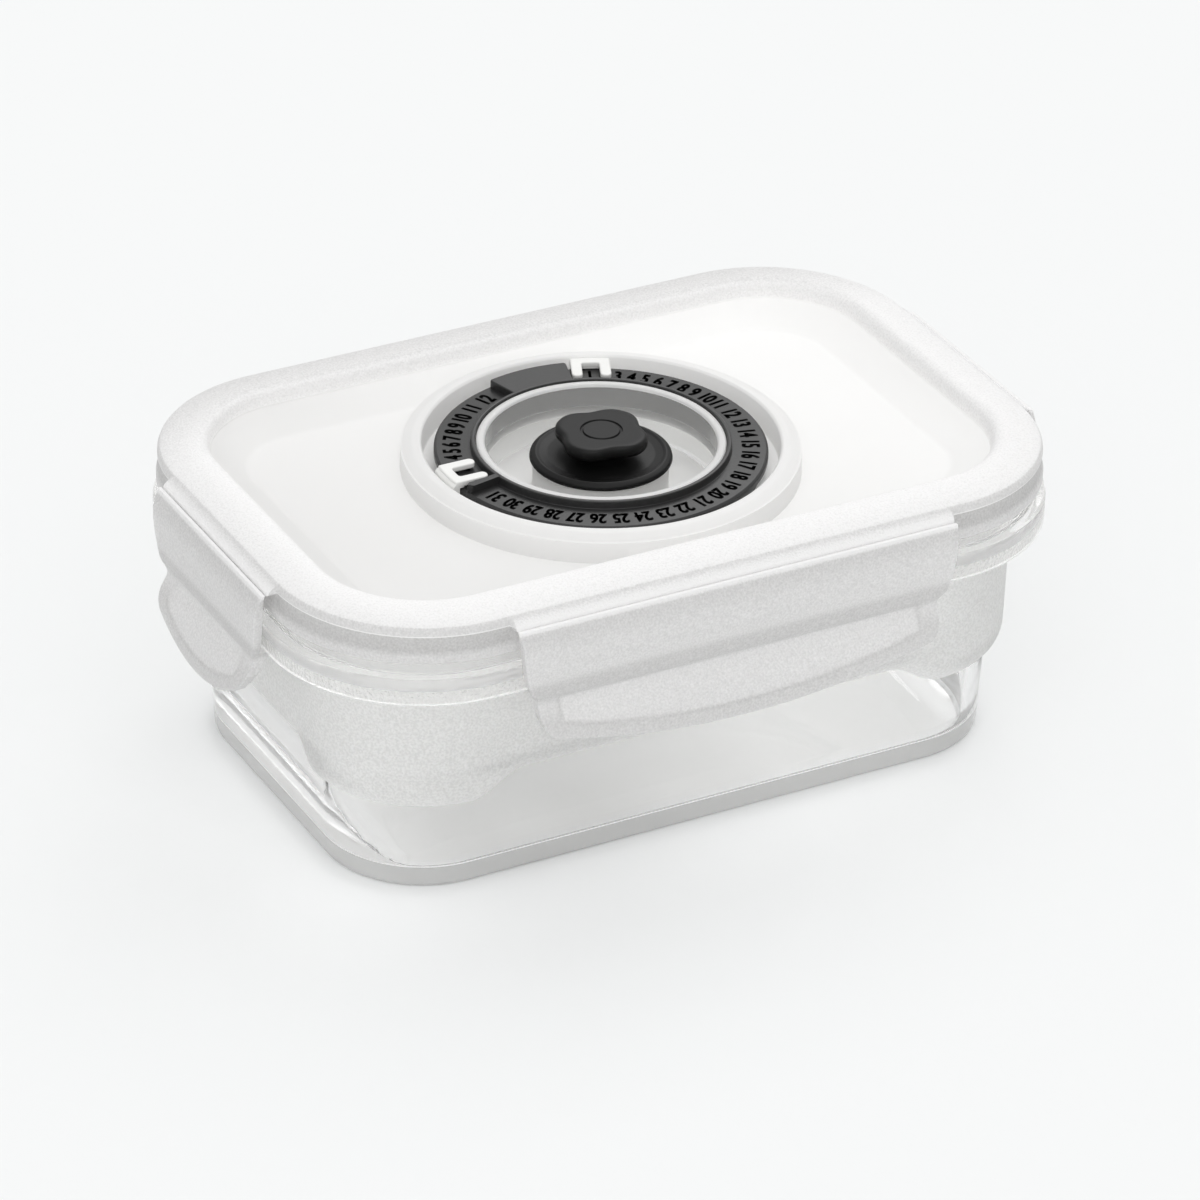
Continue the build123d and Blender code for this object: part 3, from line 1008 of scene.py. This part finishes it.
ring_path = [
    (ring_inner, panel_floor_z),
    (ring_inner, ring_top_z, 0.25),
    (22.85, ring_top_z, 0.25),
    (22.95, track_z, 0.15),
    (28.9, track_z, 0.2),
    (ring_outer, 0.15, 0.2),
    (ring_outer, ring_flange_z, 0.15),
    (ring_body_outer, ring_flange_z),
    (ring_body_outer, panel_floor_z),
]


def make_date_ring():
    angles = even_angles(ring_segments)
    loops = [circle_loop(radius, z, angles) for radius, z in round_path(ring_path, 4)]
    place(skin("date_track", loops, [RING]), "lid", "ring_plastic", "date_ring")
    for stop in ring_stops:
        place(make_stop(*stop), "lid", "ring_plastic")


def make_stop(name, start, end, corner):
    """A raised block on the date ring between two angles, with rounded outer corners."""
    first, last = math.radians(start), math.radians(end)
    lean = corner / stop_outer
    shares = [i / stop_steps for i in range(stop_steps + 1)]
    outline = [polar(stop_inner, mix(first, last, share)) for share in shares]
    outline += stop_corner(last, -lean, corner)
    outline += [polar(stop_outer, mix(last - lean, first + lean, share)) for share in shares[1:-1]]
    outline += reversed(stop_corner(first, lean, corner))
    return bevel(prism(name, outline, stop_foot_z, ring_top_z, [RING]), stop_bevel)


def stop_corner(side, lean, corner):
    """The rounded corner of a stop, from its side to its outer edge."""
    points = []
    for i in range(stop_corner_steps + 1):
        bend = TURN / 4 * i / stop_corner_steps
        radius = stop_outer - corner * (1 - math.sin(bend))
        points.append(polar(radius, side + lean * (1 - math.cos(bend))))
    return points


# Figures on the date ring, tops outward: months one way and days the other

figure_radius = 26.1
figure_height = 3.0
figure_depth = 0.03
figure_lift = 0.02
figure_bold = 0.11
figure_squeeze = 0.68
figure_spacing = 0.98
# The size of the typeface in heights of its figures
typeface_share = 1.45

# Where the figures stand, in degrees
late_month_angles = {12: 113.8, 11: 122.8, 10: 131.7, 9: 137.9}
first_month_angle = 179.0
first_day_angle = 66.6
day_step = 5.475
day_ten_angle = 16.4
day_eleven_angle = 9.6
wide_day_step = 8.565


def month_angles():
    angles = dict(late_month_angles)
    for month in range(1, 9):
        angles[month] = mix(first_month_angle, late_month_angles[9], (month - 1) / 8)
    return angles


def day_angles():
    """Days with two figures stand further apart than those with one."""
    angles = {day: first_day_angle - day_step * (day - 1) for day in range(1, 10)}
    angles[10] = day_ten_angle
    for day in range(11, 32):
        angles[day] = day_eleven_angle - wide_day_step * (day - 11)
    return angles


def make_figures():
    work = bmesh.new()
    for angles in (month_angles(), day_angles()):
        for number, angle in angles.items():
            add_figure(work, str(number), math.radians(angle))
    mesh = bpy.data.meshes.new("date_figures")
    work.to_mesh(mesh)
    work.free()
    mesh.materials.append(INK)
    place(link_new("date_figures", mesh), "lid", "ring_plastic")


def figure_mesh(text):
    """A number as a thin mesh round the origin, squeezed to be slim."""
    curve = bpy.data.curves.new("figure", "FONT")
    curve.body = text
    curve.align_x = "CENTER"
    curve.align_y = "CENTER"
    curve.size = figure_height * typeface_share * MM
    curve.extrude = figure_depth * MM
    curve.space_character = figure_spacing
    figure = link_new("figure", curve)
    bpy.context.view_layer.update()
    mesh = bpy.data.meshes.new_from_object(figure)
    mesh.transform(Matrix.Diagonal((figure_squeeze, 1.0, 1.0, 1.0)))
    bpy.data.objects.remove(figure)
    bpy.data.curves.remove(curve)
    return mesh


def add_figure(work, text, angle):
    """Add a number to the ring: four copies that are slightly shifted make it bold."""
    mesh = figure_mesh(text)
    spin = Matrix.Rotation(angle - TURN / 4, 4, "Z")
    height = hinge_height + track_z + figure_lift
    for across, upward in ((-1, -1), (1, -1), (-1, 1), (1, 1)):
        shift = Vector((across * figure_bold, figure_radius + upward * figure_bold, height))
        copy = mesh.copy()
        copy.transform(spin @ Matrix.Translation(shift * MM))
        work.from_mesh(copy)
        bpy.data.meshes.remove(copy)
    bpy.data.meshes.remove(mesh)


# Pointers: a plate over the track and a clip round the flange of the ring

pointer_half = 3.55
pointer_outer = 30.3
pointer_leg_z = 0.9
window_half = 1.6
window_end = 28.45
window_round = 0.5
leg_end = 23.6
leg_round = 0.9
pointer_slip = 0.06
pointer_bevel = 0.24
clip_bevel = 0.15
edge_steps = 10
clip_half = 3.5
clip_inner = 28.5
clip_mid = 29.6
clip_outer = 30.9
hook_inner = 28.3
hook_z = -2.1
clip_steps = 12
month_pointer_angle = 179.5
day_pointer_angle = 66.2

clip_path = [
    (clip_inner, track_z + pointer_slip),
    (clip_inner, 1.6),
    (29.8, 1.9, 0.4),
    (clip_outer, 1.1, 0.6),
    (clip_outer, hook_z, 0.3),
    (hook_inner, hook_z, 0.3),
    (hook_inner, ring_flange_z - pointer_slip),
    (ring_outer + pointer_slip, ring_flange_z - pointer_slip),
    (ring_outer + pointer_slip, track_z + pointer_slip),
]


def corner_arc(x, y, radius, start, steps=5):
    """Points of a quarter circle about a centre, from a start angle, anticlockwise."""
    turns = [polar(radius, start + TURN / 4 * i / steps) for i in range(steps + 1)]
    return [(x + across, y + up) for across, up in turns]


def pointer_outline():
    """The plan of a pointer that points along +X, with an outer edge round the middle."""
    lean = math.asin(pointer_half / pointer_outer)
    turns = [mix(-lean, lean, i / edge_steps) for i in range(edge_steps + 1)]
    edge = [polar(pointer_outer, turn) for turn in turns]
    leg_x = leg_end + leg_round
    window_x, window_y = window_end - window_round, window_half - window_round
    leg = corner_arc(leg_x, pointer_half - leg_round, leg_round, TURN / 4)
    leg += corner_arc(leg_x, window_half + leg_round, leg_round, TURN / 2)
    leg += reversed(corner_arc(window_x, window_y, window_round, 0))
    return edge + leg + [(x, -y) for x, y in reversed(leg)]


def make_pointer(name, body, angle, node):
    plate = prism(name, pointer_outline(), pointer_leg_z, ring_top_z, [POINTER])
    turn_mesh(plate, angle)
    bevel(plate, pointer_bevel)
    place(plate, body, "pointer_plastic", node)
    place(make_clip(name + "_clip", angle), body, "pointer_plastic")


def make_clip(name, angle):
    """The wall of a pointer outside the ring, with its hook under the ring's flange."""
    lean = math.asin(clip_half / clip_mid)
    profile = round_path(clip_path, 3)
    rows = []
    for i in range(clip_steps + 1):
        a = mix(-lean, lean, i / clip_steps)
        rows.append([(*polar(radius, a), hinge_height + z) for radius, z in profile])
    clip = skin(name, rows, [POINTER], sharp=35.0, joined=False)
    turn_mesh(clip, angle)
    return bevel(clip, clip_bevel)


# Release valve

valve_segments = 144
valve_foot_z = -9.0
stem_radius = 1.8
bulb_radius = 2.7
disc_foot_z = -2.05
knob_radius = 8.5
knob_foot_z = 1.35
knob_top_z = 3.7
knob_lobes = 4
knob_dip = 1.35
knob_dip_power = 1.6
knob_turn = 79.0
face_groove_z = 3.42

# By radius: up from the bulb over the stem and the disc to the foot of the knob
valve_path = [
    (0.3, valve_foot_z),
    (stem_radius, valve_foot_z, 0.5),
    (bulb_radius, -8.1, 0.4),
    (bulb_radius, -6.5, 0.4),
    (stem_radius, -5.8, 0.2),
    (stem_radius, disc_foot_z, 0.2),
    (11.9, disc_foot_z, 0.3),
    (12.65, -1.74, 0.3),
    (12.45, -1.0, 0.5),
    (11.5, -0.5, 0.5),
    (10.9, -0.75, 0.4),
    (9.5, -1.0, 1.2),
    (5.4, -0.6, 2.2),
    (3.6, 0.5, 1.0),
    (3.2, knob_foot_z, 0.2),
]
# By distance inside the knob's lobed outline
knob_path = [
    (2.2, knob_foot_z),
    (0.55, 1.38),
    (0.15, 1.6),
    (0.0, 2.1),
    (0.0, 2.7),
    (0.08, 3.25),
    (0.3, 3.55),
    (0.75, knob_top_z),
    (1.3, knob_top_z),
]
# By radius: the face of the knob, with its fine round groove
face_path = [
    (4.2, knob_top_z),
    (3.75, knob_top_z),
    (3.7, 3.62),
    (3.62, face_groove_z),
    (3.32, face_groove_z),
    (3.24, 3.62),
    (3.18, knob_top_z),
    (0.4, knob_top_z),
]


def knob_edge(angle):
    """The knob's lobed outline: a circle with four rounded dips."""
    phase = math.cos(knob_lobes * (angle - math.radians(knob_turn)))
    dip = ((1 + phase) / 2) ** knob_dip_power
    return knob_radius - knob_dip * dip


def make_valve():
    angles = even_angles(valve_segments)
    loops = [circle_loop(radius, z, angles) for radius, z in round_path(valve_path, 5)]
    for inset, z in knob_path:
        loops.append([(*polar(knob_edge(a) - inset, a), hinge_height + z) for a in angles])
    loops += [circle_loop(radius, z, angles) for radius, z in face_path]
    piece = skin("valve_body", loops, [VALVE], sharp=50.0, joined=False)
    place(piece, "valve", "valve_silicone", "release_valve")


# Flaps: tables of heights with offsets outward from the hinge line, or tapers of the sides

flap_rows = 56
flap_columns = (44, 84)
# The columns stand closer together towards the ends, as on an arc that turns this far
column_sweep = TURN / 4 * 0.82
foot_taper = 5.65
flap_tip_z = -25.1
flap_tip_lift = 4.5
thumb_taper = 7.15
thumb_top_z = -13.6
thumb_margin = 2.3
thumb_edge = 0.9
thumb_depth = 0.4
flap_bevel = 0.3
# Painted light and shade of a flap: darker at its top, over its hook and at its toe, lighter in the
# thumb panel, with a painted shade line round the panel's edge
flap_top_tone = 0.42
flap_body_tone = 0.6
flap_toe_tone = 0.42
hook_painted_shade = 0.34
thumb_painted_light = 0.66
thumb_edge_shade = 0.9
# How far down a flap one tone fades into the next
edge_fade = (0.2, 0.9)
body_fade = (0.0, 6.0)
hook_fade = (9.6, 11.4)
hook_end_fade = (13.2, 14.8)
toe_fade = (15.0, 18.0)

flap_outer_path = [
    (0.0, 0.4), (-0.6, 0.55), (-1.3, 0.85), (-3.0, 1.45), (-4.8, 1.66), (-7.5, 1.55),
    (-9.5, 1.43), (-12.0, 1.28), (-13.0, 1.1), (-13.8, 0.72), (-14.6, 0.5), (-15.4, 0.62),
    (-16.6, 1.35), (-17.9, 2.1), (-19.3, 2.75), (-21.0, 3.05), (-23.0, 3.2), (-25.2, 3.32),
]
# The inner face with its hook
flap_inner_path = [
    (0.0, -0.4), (-0.5, -0.15), (-1.5, -0.1), (-12.6, -0.1), (-12.84, -0.2), (-12.87, -2.6),
    (-13.2, -2.9), (-13.6, -2.8), (-15.1, -1.7), (-17.15, -0.56), (-19.6, 0.9), (-22.0, 1.3),
    (-25.2, 1.62),
]
flap_taper_path = [
    (0.45, 0.0), (-3.6, 0.55), (-7.5, 0.95), (-10.3, 1.55), (-12.2, 2.15), (-12.9, 2.9),
    (-13.5, 3.5), (-14.5, 3.7), (-17.3, 3.75), (-18.6, 4.15), (-19.8, 4.95), (-20.6, foot_taper),
]


def flap_foot(x, width):
    """The height of a flap's lower edge at a distance from its middle."""
    share = min(abs(x) / (width / 2 - foot_taper), 1.0)
    return flap_tip_z + flap_tip_lift * share * share


def thumb_share(x, z, width):
    """How far inside the thumb panel a point lies: 0 outside its edge, 1 on its floor."""
    side = width / 2 - thumb_taper - abs(x)
    top = thumb_top_z - z
    foot = z - (flap_foot(x, width) + thumb_margin)
    return smooth_step(0.0, thumb_edge, min(side, top, foot))


def flap_tone(x, z, width):
    """Painted light and shade on a flap: painted dark over its hook, painted light where the thumb
    panel is thin.
    """
    down = -z
    tone = mix(flap_top_tone, flap_body_tone, smooth_step(*body_fade, down))
    tone = mix(edge_tone, tone, smooth_step(*edge_fade, down))
    hook = smooth_step(*hook_fade, down) * (1 - smooth_step(*hook_end_fade, down))
    tone = mix(tone, hook_painted_shade, hook)
    tone = mix(tone, flap_toe_tone, smooth_step(*toe_fade, down))
    thumb = thumb_share(x, z, width)
    return mix(tone, thumb_painted_light, thumb) - thumb_edge_shade * thumb * (1 - thumb)


def flap_column(across, width):
    """The outer and inner points of a flap's column, evenly shared down to its lower edge.

    across says where the column stands, from -1 at one end of the flap to 1 at the other.
    """
    foot = flap_foot(across * (width / 2 - foot_taper), width)
    outer = []
    inner = []
    for i in range(flap_rows + 1):
        z = mix(0.0, foot, i / flap_rows)
        x = across * (width / 2 - follow(flap_taper_path, z))
        dent = thumb_depth * thumb_share(x, z, width)
        outer.append((x, follow(flap_outer_path, z) - dent, z))
        inner.append((x, follow(flap_inner_path, z), z))
    return outer, inner


def make_flap(side_index):
    width = (flap_short, flap_long)[side_index % 2]
    columns = flap_columns[side_index % 2]
    leans = [mix(-1.0, 1.0, i / columns) * column_sweep for i in range(columns + 1)]
    pairs = [flap_column(math.sin(lean) / math.sin(column_sweep), width) for lean in leans]
    grids = [[outer for outer, inner in pairs], [inner for outer, inner in pairs]]
    tones = [flap_tone(x, z, width) for grid in grids for column in grid for x, _, z in column]
    side = SIDES[side_index]
    piece = shell_from_grids(f"flap_{side}_skin", grids, side_index, tones)
    place(piece, f"{side}_flap", "frosted_plastic", f"flap_{side}")


def shell_from_grids(name, grids, side_index, tones):
    """A closed solid between two grids of flap points, turned to its side of the lid."""
    columns, rows = len(grids[0]), len(grids[0][0])
    reach = (hinge_long, hinge_short)[side_index % 2] / 2
    vertices = []
    for x, offset, z in (point for grid in grids for column in grid for point in column):
        place_x, place_y = turned_point(reach + offset, x, side_index * TURN / 4)
        vertices.append((place_x, place_y, hinge_height + z))

    def number(layer, i, j):
        return (layer * columns + i) * rows + j

    def edge_face(first, second):
        return (number(0, *first), number(0, *second), number(1, *second), number(1, *first))

    faces = []
    for i in range(columns - 1):
        for j in range(rows - 1):
            here, beside, below, opposite = (i, j), (i + 1, j), (i, j + 1), (i + 1, j + 1)
            faces.append([number(0, *corner) for corner in (here, beside, opposite, below)])
            faces.append([number(1, *corner) for corner in (here, below, opposite, beside)])
    for j in range(rows - 1):
        faces += [edge_face((i, j), (i, j + 1)) for i in (0, columns - 1)]
    for i in range(columns - 1):
        faces += [edge_face((i, j), (i + 1, j)) for j in (0, rows - 1)]
    piece = new_object(name, vertices, faces, [FROSTED], sharp=45.0, tones=tones)
    return bevel(piece, flap_bevel, 50.0)


# Floor, light and camera

floor_half = 6000


def make_floor():
    corners = [(x * floor_half, y * floor_half, 0) for x, y in ((-1, -1), (1, -1), (1, 1), (-1, 1))]
    floor = new_object("floor", corners, [(0, 1, 2, 3)], [FLOOR])


# Each soft lamp's height and turn in degrees, how wide it is and its share of the light
sky_share = 0.64
key_light = (50.0, 46.0, 40.0, 0.25)
fill_light = (50.0, -115.0, 60.0, 0.21)


def make_light():
    make_sky()
    make_lamp("key", *key_light)
    make_lamp("fill", *fill_light)


def make_sky():
    world = bpy.data.worlds.new("studio")
    bpy.context.scene.world = world
    world.use_nodes = True
    background = world.node_tree.nodes["Background"]
    background.inputs["Color"].default_value = (1, 1, 1, 1)
    background.inputs["Strength"].default_value = sky_share


def make_lamp(name, height_degrees, turn_degrees, softness, level_share):
    height, turn = math.radians(height_degrees), math.radians(turn_degrees)
    lamp = bpy.data.lights.new(name, "SUN")
    lamp.energy = level_share * math.pi / math.sin(height)
    lamp.angle = math.radians(softness)
    source = Vector((*polar(math.cos(height), turn), math.sin(height)))
    link_new(name, lamp).rotation_euler = source.to_track_quat("Z", "Y").to_euler()


# Where the camera stands: its turns in degrees, its distance and the point that it aims at
camera_yaw = -28.35
camera_pitch = 29.98
camera_roll = 1.08
camera_distance = 1116.6
camera_lens = 188.5
sensor_width = 36.0
aim_across = 0.31
aim_height = 23.93


def make_camera():
    yaw, pitch, roll = (math.radians(v) for v in (camera_yaw, camera_pitch, camera_roll))
    back = Vector((
        math.sin(yaw) * math.cos(pitch),
        -math.cos(yaw) * math.cos(pitch),
        math.sin(pitch),
    ))
    level = Vector((math.cos(yaw), math.sin(yaw), 0))
    upright = back.cross(level)
    right = level * math.cos(roll) + upright * math.sin(roll)
    up = upright * math.cos(roll) - level * math.sin(roll)
    aim = level * aim_across + Vector((0, 0, aim_height))
    spot = (aim + back * camera_distance) * MM
    data = bpy.data.cameras.new("camera")
    data.lens = camera_lens
    data.sensor_width = sensor_width
    data.clip_start = 0.05
    data.clip_end = 50
    camera = link_new("camera", data)
    turn = Matrix((right, up, back)).transposed().to_4x4()
    camera.matrix_world = Matrix.Translation(spot) @ turn
    bpy.context.scene.camera = camera


make_container()
make_lid_frame()
make_lid_panel()
make_gasket()
make_date_ring()
make_figures()
make_pointer("month_marker", "month_pointer_body", month_pointer_angle, "month_pointer")
make_pointer("day_marker", "day_pointer_body", day_pointer_angle, "day_pointer")
make_valve()
for side_index in range(4):
    make_flap(side_index)
make_floor()
make_light()
make_camera()

bpy.context.scene.view_settings.view_transform = "Standard"
